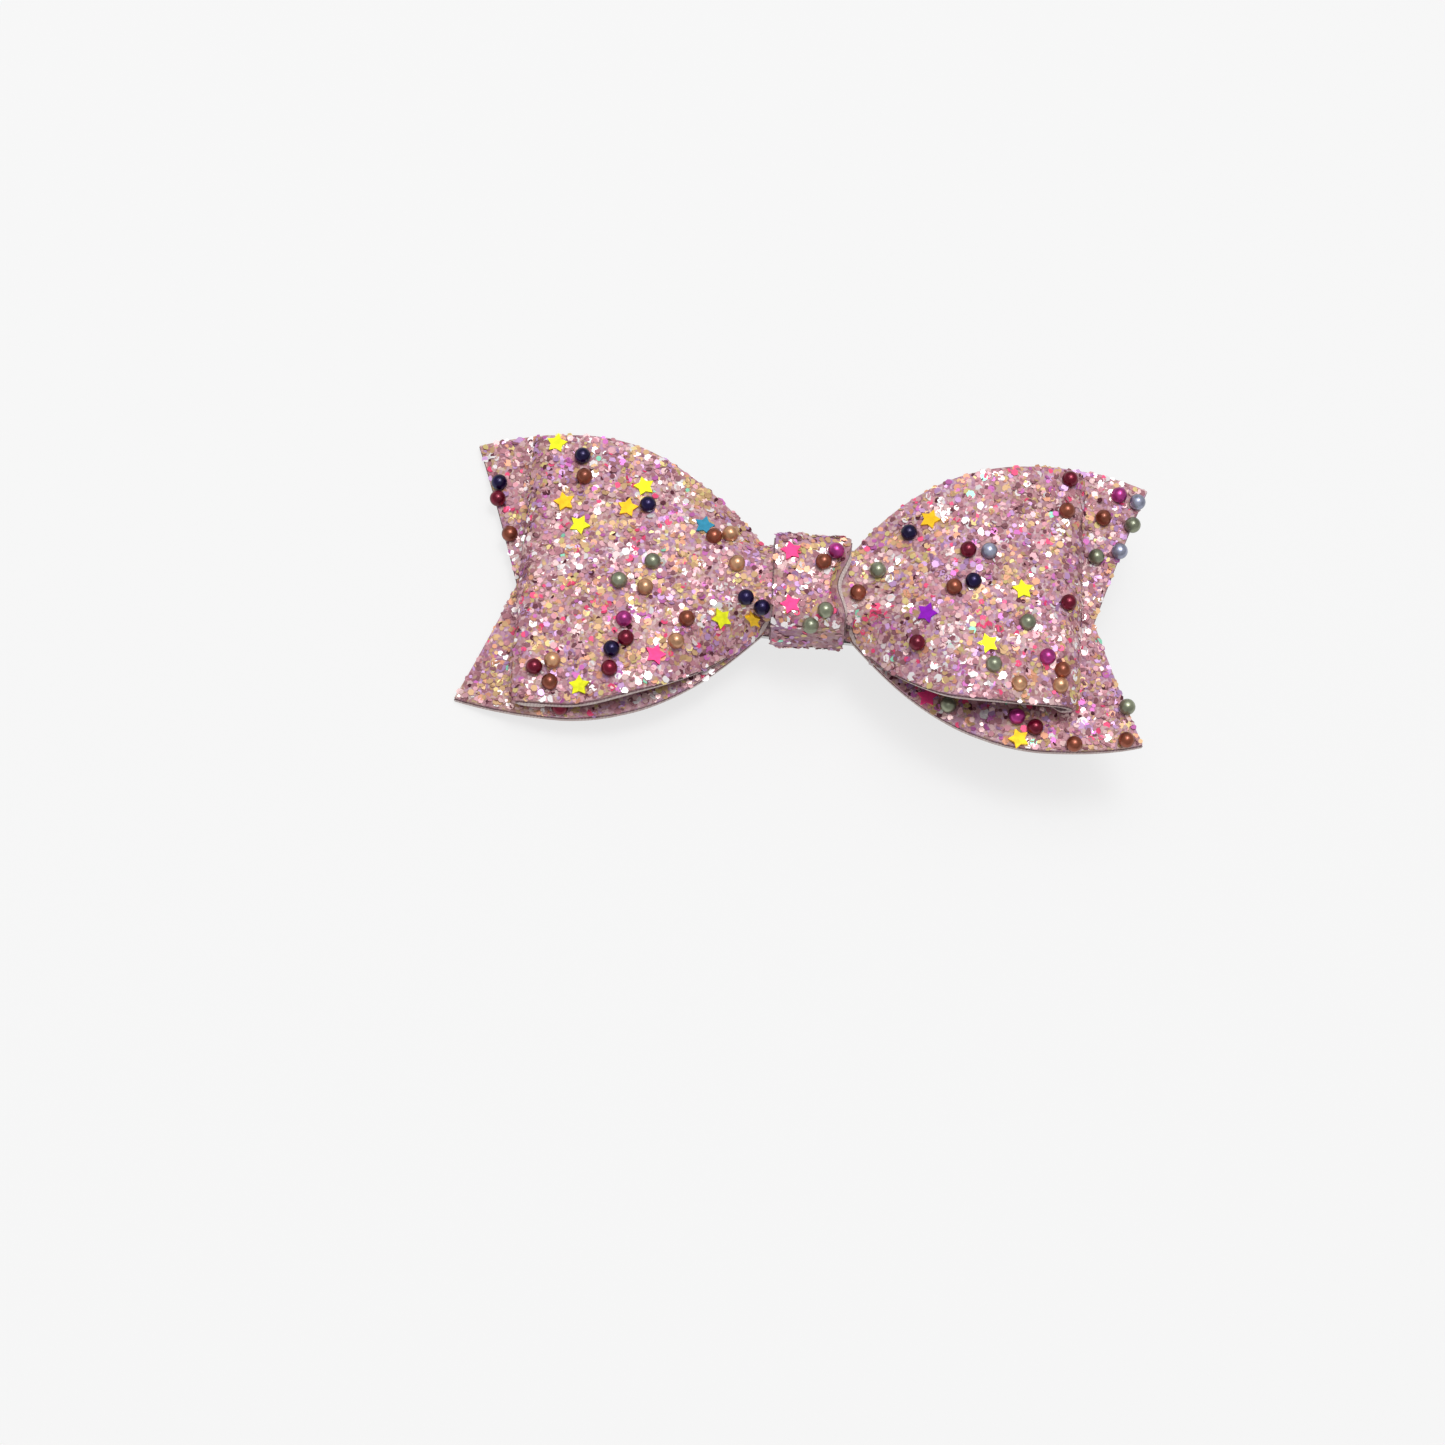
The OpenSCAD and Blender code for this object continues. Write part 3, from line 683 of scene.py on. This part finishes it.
# How far inside the canvas's edge each coat stops, and how far it sinks into the canvas
COAT_INSET = {"loop": 0.16, "tail": 0.12, "wrap": 0.12}
COAT_SINK = 0.03
coat_grids, coat_faces = {}, {}
cloth, coats, flat_area = {}, {}, {}
for seed, (name, grid) in enumerate(GRIDS.items()):
    points = grid()
    back = points - grid_normals(points) * BACKING_T
    cloth[name] = shell(f"{name}_canvas", back, points, CANVAS_TONE_AND_PAINTED_SHADE, CUT_EDGE)
    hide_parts(f"{name}_backing")
    cells = np.cross(np.diff(points, axis=0)[:, :-1], np.diff(points, axis=1)[:-1])
    flat_area[name] = np.linalg.norm(cells, axis=2).sum() * MM * MM
    points = grid(COAT_INSET[name])
    normals = grid_normals(points)
    coat_grids[name] = points, normals
    coat_faces[name] = coat_surface(points, normals, 10 * seed + 3)
    finish = KNOT_COAT_PAINTED_SHADE if name == "wrap" else COAT
    sunk = points - normals * COAT_SINK
    coats[name] = shell(f"{name}_coat", sunk, coat_faces[name], finish)
    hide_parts(f"{name}_glitter")

# ---- glitter flakes ----

# Each kind's colour, share, kind of patch that it gathers in, least and most width, metallic
# and roughness
FLAKES = {
    "rose": ((0.46, 0.20, 0.24), 21, "", 0.4, 0.85, 0.3, 0.42),
    "blush": ((0.61, 0.33, 0.37), 20, "", 0.4, 0.9, 0.3, 0.38),
    "dusk": ((0.30, 0.125, 0.15), 13, "cool", 0.4, 0.85, 0.35, 0.42),
    "pearl": ((0.76, 0.51, 0.51), 13, "bright_and_painted_glint", 0.4, 0.85, 0.4, 0.3),
    "sand": ((0.57, 0.36, 0.19), 11, "warm", 0.4, 0.9, 0.3, 0.44),
    # White flakes are partly pale glitter and partly painted glints, white where the flakes catch the light.
    "white": ((0.97, 0.92, 0.93), 5.0, "bright_and_painted_glint", 0.45, 1.1, 0.4, 0.22),
    "wine": ((0.11, 0.025, 0.04), 4.5, "", 0.35, 0.75, 0.4, 0.36),
    "lilac": ((0.52, 0.30, 0.55), 6, "cool", 0.4, 0.9, 0.4, 0.36),
    "straw": ((0.66, 0.52, 0.22), 4.2, "warm", 0.4, 0.9, 0.3, 0.38),
    "peach": ((0.74, 0.35, 0.22), 4, "warm", 0.45, 0.95, 0.3, 0.38),
    "orchid": ((0.56, 0.15, 0.44), 3, "cool", 0.45, 0.9, 0.35, 0.36),
    "hot_pink": ((0.82, 0.08, 0.20), 2.2, "hot", 0.45, 0.95, 0.2, 0.38),
    "mint": ((0.32, 0.82, 0.58), 0.25, "bright_and_painted_glint", 0.6, 0.98, 0.3, 0.32),
}

# How many are scattered on each coat, before some are left out, how thick they are, how far
# they keep from the coat's border, and how deep and how high their middles sit on the coat
FLAKE_COUNT = {"loop": 15500, "tail": 10500, "wrap": 2100}
FLAKE_T = 0.035
FLAKE_MARGIN = 0.1
FLAKE_DEEP, FLAKE_HIGH = 0.05, 0.09

# The spread of the flakes' lean and the least of it, in radians, and the share of them that
# stand up more steeply
LEAN, LEAST_LEAN = math.radians(11), 0.02
STEEP_SHARE, STEEP_LEAN = 0.06, (0.4, 0.8)

# The share of flakes that is kept on the wrap's front, back and sides, and behind the loops,
# told apart by how far up the coat faces
KNOT_KEPT = {"front": 1.0, "back": 0.35, "side": 0.3}
BEHIND_KEPT = 0.4
WRAP_FRONT_UP, WRAP_BACK_UP, BEHIND_UP = 0.35, -0.5, -0.7

# Each kind of patch: the size of its random part, that part's seed and its strength
PATCHES = {"warm": (4.8, 61, 1.3), "cool": (4.2, 62, 1.3), "bright_and_painted_glint": (5.0, 63, 1.2), "hot": (4.0, 64, 0.9)}

# Where on the front each kind also gathers, as x and y, how far about and how strongly
SPOTS = {
    # The bright spots are partly pale glitter and partly painted glints, gathered where the flakes catch the
    # light.
    "bright_and_painted_glint": [(-28, 1), (-14, 9), (8.5, -7.5), (21, 6), (16, -6)],
    "warm": [(-25, 8), (-18, -1), (8, 6), (20, -4), (-33, -12), (26, -9)],
    "cool": [(-30, 10), (-21, 5), (14, 2), (24, -3), (28, 8)],
    "hot": [(-25, -4), (-17, -8), (-33, -7), (5.5, -2), (25, -7), (12, -11)],
}
SPOT_REACH, SPOT_PULL = 2.6, 1.3


def scatter(surface, normals, count):
    """Random places on a grid surface, by area and clear of its border, with axes there."""
    a, b = surface[1:, :-1] - surface[:-1, :-1], surface[:-1, 1:] - surface[:-1, :-1]
    area = np.linalg.norm(np.cross(a, b), axis=2).ravel()
    cell = RNG.choice(area.size, count, p=area / area.sum())
    i, j = np.unravel_index(cell, a.shape[:2])
    u, v = RNG.random((2, count))
    rows, cols = a.shape[:2]
    end_gap = np.minimum(i + u, rows - i - u) * np.linalg.norm(a[i, j], axis=1)
    side_gap = np.minimum(j + v, cols - j - v) * np.linalg.norm(b[i, j], axis=1)
    clear = np.minimum(end_gap, side_gap) > FLAKE_MARGIN
    i, j, u, v = i[clear], j[clear], u[clear, None], v[clear, None]
    place = (surface[i, j] * (1 - u) * (1 - v) + surface[i + 1, j] * u * (1 - v)
             + surface[i, j + 1] * (1 - u) * v + surface[i + 1, j + 1] * u * v)
    normal = normals[i, j] * (1 - u) + normals[i + 1, j] * u
    normal /= np.linalg.norm(normal, axis=1)[:, None]
    tangent = a[i, j] / np.linalg.norm(a[i, j], axis=1)[:, None]
    return place, normal, tangent


def flake_axes(normal, tangent):
    """Each flake's own axes: spun at random and leaning a little off the coat."""
    count = len(normal)
    other = np.cross(normal, tangent)
    spin = RNG.uniform(0, 2 * math.pi, (count, 1))
    e1 = tangent * np.cos(spin) + other * np.sin(spin)
    e2 = np.cross(normal, e1)
    lean = np.abs(RNG.normal(0, LEAN, (count, 1))) + LEAST_LEAN
    steep = RNG.random((count, 1)) < STEEP_SHARE
    lean = np.where(steep, RNG.uniform(*STEEP_LEAN, (count, 1)), lean)
    n2 = normal * np.cos(lean) + e1 * np.sin(lean)
    e1 = e1 * np.cos(lean) - normal * np.sin(lean)
    turn = RNG.uniform(0, 2 * math.pi, (count, 1))
    return e1 * np.cos(turn) + e2 * np.sin(turn), e2 * np.cos(turn) - e1 * np.sin(turn), n2


def flake_mesh(place, e1, e2, n, radius):
    """Hexagonal plates as one list of points and faces."""
    count = len(place)
    angle = np.arange(6) * math.pi / 3
    ring = e1[:, None] * np.cos(angle)[None, :, None] + e2[:, None] * np.sin(angle)[None, :, None]
    ring = place[:, None] + ring * radius[:, None, None]
    half = n[:, None] * FLAKE_T / 2
    verts = np.concatenate([ring + half, ring - half], 1).reshape(-1, 3)
    start = (np.arange(count) * 12)[:, None]
    k = np.arange(6)
    walls = np.stack([k + 6, (k + 1) % 6 + 6, (k + 1) % 6, k], 1)
    walls = (start[:, None] + walls[None]).reshape(-1, 4)
    return verts, (start + k).tolist() + (start + np.arange(11, 5, -1)).tolist() + walls.tolist()


def kept_share(name, place, normal):
    """The share of flakes to keep: fewer behind, and on the wrap's plainer sides."""
    up = normal[:, 2]
    if name == "wrap":
        return np.where(up > WRAP_FRONT_UP, KNOT_KEPT["front"],
                        np.where(up < WRAP_BACK_UP, KNOT_KEPT["back"], KNOT_KEPT["side"]))
    under_wrap = np.abs(place[:, 0]) < WRAP_BOTTOM / 2 + 0.2
    behind = (name == "loop") & (up < BEHIND_UP)
    return np.where(under_wrap, 0.0, np.where(behind, BEHIND_KEPT, 1.0))


def patch_pull(patch, place):
    """How strongly a kind of patch draws in its flakes at each place."""
    size, seed, strength = PATCHES[patch]
    away = np.stack([np.hypot(place[:, 0] - x, place[:, 1] - y) for x, y in SPOTS[patch]])
    near = np.exp(-((away.min(0) / SPOT_REACH) ** 2))
    return np.exp(strength * ripples(place, size, seed) + SPOT_PULL * near)


def flake_kinds(place):
    """Picks each flake's kind, so that kinds gather in loose patches."""
    pull = {patch: patch_pull(patch, place) for patch in PATCHES}
    weight = np.stack([kind[1] * pull.get(kind[2], np.ones(len(place))) for kind in FLAKES.values()], 1)
    weight = np.cumsum(weight, 1) / weight.sum(1, keepdims=True)
    return (RNG.random((len(place), 1)) > weight).sum(1)


def make_flakes():
    """Every flake on the bow, gathered into one piece for each colour."""
    parts = []
    for name, count in FLAKE_COUNT.items():
        place, normal, tangent = scatter(coat_faces[name], coat_grids[name][1], count)
        keep = RNG.random(len(place)) < kept_share(name, place, normal)
        parts.append((place[keep], normal[keep], tangent[keep]))
    place, normal, tangent = (np.concatenate(p) for p in zip(*parts))
    e1, e2, n = flake_axes(normal, tangent)
    total = len(place)
    kind = flake_kinds(place)
    draw = RNG.random(total)
    place = place + normal * RNG.uniform(-FLAKE_DEEP, FLAKE_HIGH, (total, 1))
    for k, (name, (colour, _, _, least, most, metallic, roughness)) in enumerate(FLAKES.items()):
        mine = kind == k
        width = least + (most - least) * draw[mine]
        verts, polys = flake_mesh(place[mine], e1[mine], e2[mine], n[mine], width / 2)
        material, _, _ = principled(f"flake_{name}", Base_Color=(*colour, 1), Metallic=metallic,
                                    Roughness=roughness, Specular_IOR_Level=0.3)
        piece(f"flakes_{name}", verts, polys, material, smooth_faces=False)


make_flakes()

# ---- trim: the beads and stars, moved with the curl of what they are set in ----

PEARLS = {
    "navy": (0.009, 0.002, 0.050), "burgundy": (0.175, 0.003, 0.024), "copper": (0.280, 0.072, 0.038),
    "champagne": (0.620, 0.330, 0.180), "sage": (0.270, 0.290, 0.200), "silver": (0.340, 0.360, 0.480),
    "magenta": (0.470, 0.040, 0.260),
}
FOILS = {
    "lemon": (0.84, 0.86, 0.02), "amber": (0.94, 0.56, 0.02), "violet": (0.32, 0.015, 0.56),
    "teal": (0.04, 0.28, 0.44), "pink": (0.90, 0.06, 0.24),
}

# Trim above this height is set in the loops, and the rest in the tail
LOOP_TRIM_Z = 3.0

# How far the middles of beads and stars are above their sheet's backing, and how far more
# stars are lifted so that the lumpy coat doesn't hide them
BEAD_ABOVE, STAR_ABOVE = COAT_T + 0.5, COAT_T + 0.05
STAR_LIFT = 0.1

# Trim on the lower half moves in by this share of how far its sheet is drawn back
TRIM_IN = 0.37

# Trim nearer the knot's middle than this is set in the wrap, which doesn't move it
WRAP_TRIM_X = WRAP_BOTTOM / 2 + 0.5


def islands(name):
    """The separate solids of a CAD node, each as its points in the level axes and its faces."""
    mesh = frame["nodes"][name].data
    points = to_level([v.co[:] for v in mesh.vertices])
    _, first, weld = np.unique(np.round(points, 3), axis=0, return_index=True, return_inverse=True)
    weld = weld.ravel()
    points = points[first]
    polys = [[int(weld[v]) for v in p.vertices] for p in mesh.polygons]
    edges = np.array([(p[k], p[k - 1]) for p in polys for k in range(len(p))])
    label = np.arange(len(points))
    while True:
        low = np.minimum(label[edges[:, 0]], label[edges[:, 1]])
        new = label.copy()
        np.minimum.at(new, edges[:, 0], low)
        np.minimum.at(new, edges[:, 1], low)
        if (new == label).all():
            break
        label = new
    return points, polys, label


def sheet_height(x, y, z):
    """The height of the curled sheet under trim at x, y; z is the flat sheet's."""
    return loop_height(x, y, z) if z > LOOP_TRIM_Z else z - arch(x, y)


def settled(points, above, star):
    """Trim moved from the flat CAD sheet to the curled one, and set the same way above its backing.

    A bead only moves, and a star also leans with the sheet.
    """
    x, y, z = points.mean(0)
    offset = points - (x, y, z)
    flat = z - above
    if y < 0:
        y += TRIM_IN * (flat - sheet_height(x, y, flat))
    small = 0.05
    low = sheet_height(x, y, flat)
    lean_x = (sheet_height(x + small, y, flat) - low) / small
    lean_y = (sheet_height(x, y + small, flat) - low) / small
    normal = np.array((-lean_x, -lean_y, 1)) / math.hypot(lean_x, lean_y, 1)
    foot = np.array((x, shortened(x, y) if flat > LOOP_TRIM_Z else y, low))
    if not star:
        return foot + above * normal + offset
    e1 = np.array((1, 0, lean_x)) / math.hypot(1, lean_x)
    e2 = np.array((0, 1, lean_y)) / math.hypot(1, lean_y)
    return foot + offset[:, :1] * e1 + offset[:, 1:2] * e2 + (above + STAR_LIFT + offset[:, 2:]) * normal


def trim_piece(node_name, material, star):
    """A CAD trim node as a new piece, each of its solids moved with the sheet that it is set in."""
    points, polys, label = islands(node_name)
    for island in np.unique(label):
        mine = label == island
        if abs(points[mine, 0].mean()) > WRAP_TRIM_X:
            points[mine] = settled(points[mine], STAR_ABOVE if star else BEAD_ABOVE, star)
    obj = piece(f"{node_name}_set", points, polys, material, smooth_faces=not star)
    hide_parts(node_name)


for colour_name, colour in PEARLS.items():
    slot = f"pearl_{colour_name}"
    trim_piece(f"beads_{colour_name}", pearl_material(slot, colour), False)
for colour_name, colour in FOILS.items():
    slot = f"foil_{colour_name}"
    trim_piece(f"stars_{colour_name}", foil_material(slot, colour), True)

# ---- glue squeezed out along the clip's arm ----

# Each line's start and end along the arm, and its side
GLUE_LINES = [
    (-19.5, -12.5, 1), (-10.5, -5.5, 1), (6.2, 13.5, 1),
    (-18.5, -6, -1), (5.8, 9, -1), (10.2, 15.5, -1),
]

# The line's distance from the arm's middle, its waver, its height, its radius and the size
# and share of its lumps
GLUE_Y, GLUE_WAVER, GLUE_Z = 3.62, 0.12, 0.08
GLUE_R, GLUE_LUMPS, GLUE_LUMP = 0.3, 2.5, 0.25
GLUE_STEPS, GLUE_SIDES = 41, 12


def glue_line(start, end, side):
    """One squeezed-out bead of glue beside the arm, thick in the middle and lumpy."""
    s = np.linspace(0, 1, GLUE_STEPS)
    x = start + (end - start) * s
    y = side * (GLUE_Y + GLUE_WAVER * np.sin(9 * s + start))
    z = GLUE_Z - arch(x, y)
    line = np.stack([x, y, z], 1)
    verts, polys = swept_tube(line, 1.0, GLUE_SIDES)
    verts = np.array(verts).reshape(GLUE_STEPS, GLUE_SIDES, 3)
    blunt_ends = np.sqrt(np.clip(1 - (2 * s - 1) ** 8, 0.02, 1))
    swell = GLUE_R * blunt_ends * (1 + GLUE_LUMP * ripples(line, GLUE_LUMPS, 90))
    verts = line[:, None] + (verts - line[:, None]) * swell[:, None, None]
    return verts.reshape(-1, 3), polys


def make_glue():
    """All the glue lines as one piece."""
    verts, polys = [], []
    for spec in GLUE_LINES:
        v, p = glue_line(*spec)
        shift = sum(len(part) for part in verts)
        verts.append(v)
        polys += [tuple(k + shift for k in face) for face in p]
    piece("glue_squeezed", np.concatenate(verts), polys, GLUE)


make_glue()

# ---- the torsion spring, as a smooth wire with one leg along each arm ----

# The wire's and coil's radius, half the coil's length, the legs' length, how far the upper one
# rises in degrees, and the turns between them
WIRE_R, COIL_R, COIL_HALF = 0.25, 1.3, 1.35
LEG, LEG_RISE, TURNS = 8.5, 7.0, 4
LEG_STEPS, TURN_STEPS, WIRE_SIDES = 12, 48, 12
LEVER_SLOPE = math.degrees(math.atan((HEEL_Z + LEVER_DROP) / (LEVER_END - HINGE_X)))


def wire_point(angle, y, along=0.0):
    """A point of the coil, or a way along the straight leg that leaves it there."""
    a = math.radians(angle)
    return (HINGE_X + COIL_R * math.cos(a) + along * math.sin(a), y,
            HINGE_Z + COIL_R * math.sin(a) - along * math.cos(a))


def make_spring():
    """The wire: a leg on the top arm, the coil round the rivet and a leg on the lever."""
    start, end = 90 + LEG_RISE, 270 - LEVER_SLOPE + 360 * TURNS
    leg = np.linspace(LEG, LEG / LEG_STEPS, LEG_STEPS)
    line = [wire_point(start, -COIL_HALF, along) for along in leg]
    for k in np.linspace(0, 1, TURN_STEPS * TURNS + 1):
        line.append(wire_point(start + (end - start) * k, -COIL_HALF + 2 * COIL_HALF * k))
    line += [wire_point(end, COIL_HALF, -along) for along in leg[::-1]]
    verts, polys = swept_tube(line, WIRE_R, WIRE_SIDES)
    spring = piece("spring_wire", verts, polys, WIRE_STEEL, body=None)
    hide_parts("clip_spring")
    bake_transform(spring)


make_spring()

# ---- CAD nodes that keep their shape ----

KEPT = {
    "clip_top_arm": CLIP_STEEL, "clip_lower_arm": CLIP_STEEL, "clip_pin": CLIP_STEEL,
    "glue_clip": GLUE, "glue_tail": GLUE, "glue_ends": GLUE, "glue_pinch": GLUE, "glue_wrap": GLUE,
}
for name, material in KEPT.items():
    materials = frame["nodes"][name].data.materials
    materials.clear()
    materials.append(material)

# ---- floor, lights and camera ----

# The picture's width at the knot, the camera's rise above the bow's face and its roll, its
# lens and sensor in millimetres, and the knot's place right of and above the picture's middle
VIEW_WIDTH = 158.9 * MM
CAMERA_RISE = math.radians(68)
CAMERA_ROLL = math.radians(3.9)
LENS, SENSOR = 85.0, 36.0
KNOT_IN_VIEW = (9.6 * MM, 14.4 * MM)

# The floor glows a little, so that the bow's shadow on it stays pale
FLOOR_HALF = 3.0
FLOOR_TONE, FLOOR_GLOW = (0.18, 0.18, 0.18, 1), 0.725

# The white room's strength, and each lamp's place and size in metres and its power in watts
ROOM_LIGHT = 0.43
KEY_PLACE, KEY_SIZE, KEY_POWER = (-0.1, 0.2, 1.0), 1.0, 5.2
GLINT_PLACE, GLINT_SIZE, GLINT_POWER = (-0.03, 0.12, 0.9), 0.26, 2.8


def make_floor():
    """A pale floor under the bow's lowest point."""
    mesh = bpy.data.meshes.new("floor")
    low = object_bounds()[0][2]
    h = FLOOR_HALF
    mesh.from_pydata([(-h, -h, low), (h, -h, low), (h, h, low), (-h, h, low)], [], [(0, 1, 2, 3)])
    material, _, _ = principled(
        "floor", Base_Color=FLOOR_TONE, Roughness=0.9, Specular_IOR_Level=0.0,
        Emission_Color=(1, 1, 1, 1), Emission_Strength=FLOOR_GLOW)
    mesh.materials.append(material)
    floor = bpy.data.objects.new("floor", mesh)
    bpy.context.scene.collection.objects.link(floor)


def area_light(name, place, size, power):
    """A square soft light that faces the bow."""
    light = bpy.data.lights.new(name, "AREA")
    light.shape = "SQUARE"
    light.size = size
    light.energy = power
    obj = bpy.data.objects.new(name, light)
    obj.location = place
    obj.rotation_euler = (-Vector(place)).to_track_quat("-Z", "Y").to_euler()
    bpy.context.scene.collection.objects.link(obj)


def make_lights():
    """An even white room, a large soft key light and a small one for the glints."""
    world = bpy.data.worlds.new("studio")
    world.use_nodes = True
    world.node_tree.nodes["Background"].inputs["Color"].default_value = (1, 1, 1, 1)
    world.node_tree.nodes["Background"].inputs["Strength"].default_value = ROOM_LIGHT
    bpy.context.scene.world = world
    area_light("key", KEY_PLACE, KEY_SIZE, KEY_POWER)
    area_light("glint", GLINT_PLACE, GLINT_SIZE, GLINT_POWER)


def make_camera():
    """Looks down on the bow's face from the side of its lower edge."""
    camera = bpy.data.cameras.new("camera")
    camera.lens, camera.sensor_width = LENS, SENSOR
    camera.clip_start, camera.clip_end = 0.01, 20
    level = LEVEL.to_3x3().normalized()
    back = level @ Vector((0, -math.cos(CAMERA_RISE), math.sin(CAMERA_RISE)))
    up = level @ Vector((0, math.sin(CAMERA_RISE), math.cos(CAMERA_RISE)))
    right = up.cross(back)
    roll = Matrix.Rotation(CAMERA_ROLL, 3, back)
    right, up = roll @ right, roll @ up
    knot = LEVEL @ Vector((0, 0, (WRAP_FRONT + WRAP_BACK) / 2))
    distance = VIEW_WIDTH * LENS / SENSOR
    aim = knot - right * KNOT_IN_VIEW[0] - up * KNOT_IN_VIEW[1]
    obj = bpy.data.objects.new("camera", camera)
    turned = Matrix((right, up, back)).transposed().to_4x4()
    obj.matrix_world = Matrix.Translation(aim + back * distance) @ turned
    bpy.context.scene.collection.objects.link(obj)
    bpy.context.scene.camera = obj


make_floor()
make_lights()
make_camera()
bpy.context.scene.view_settings.view_transform = "Standard"
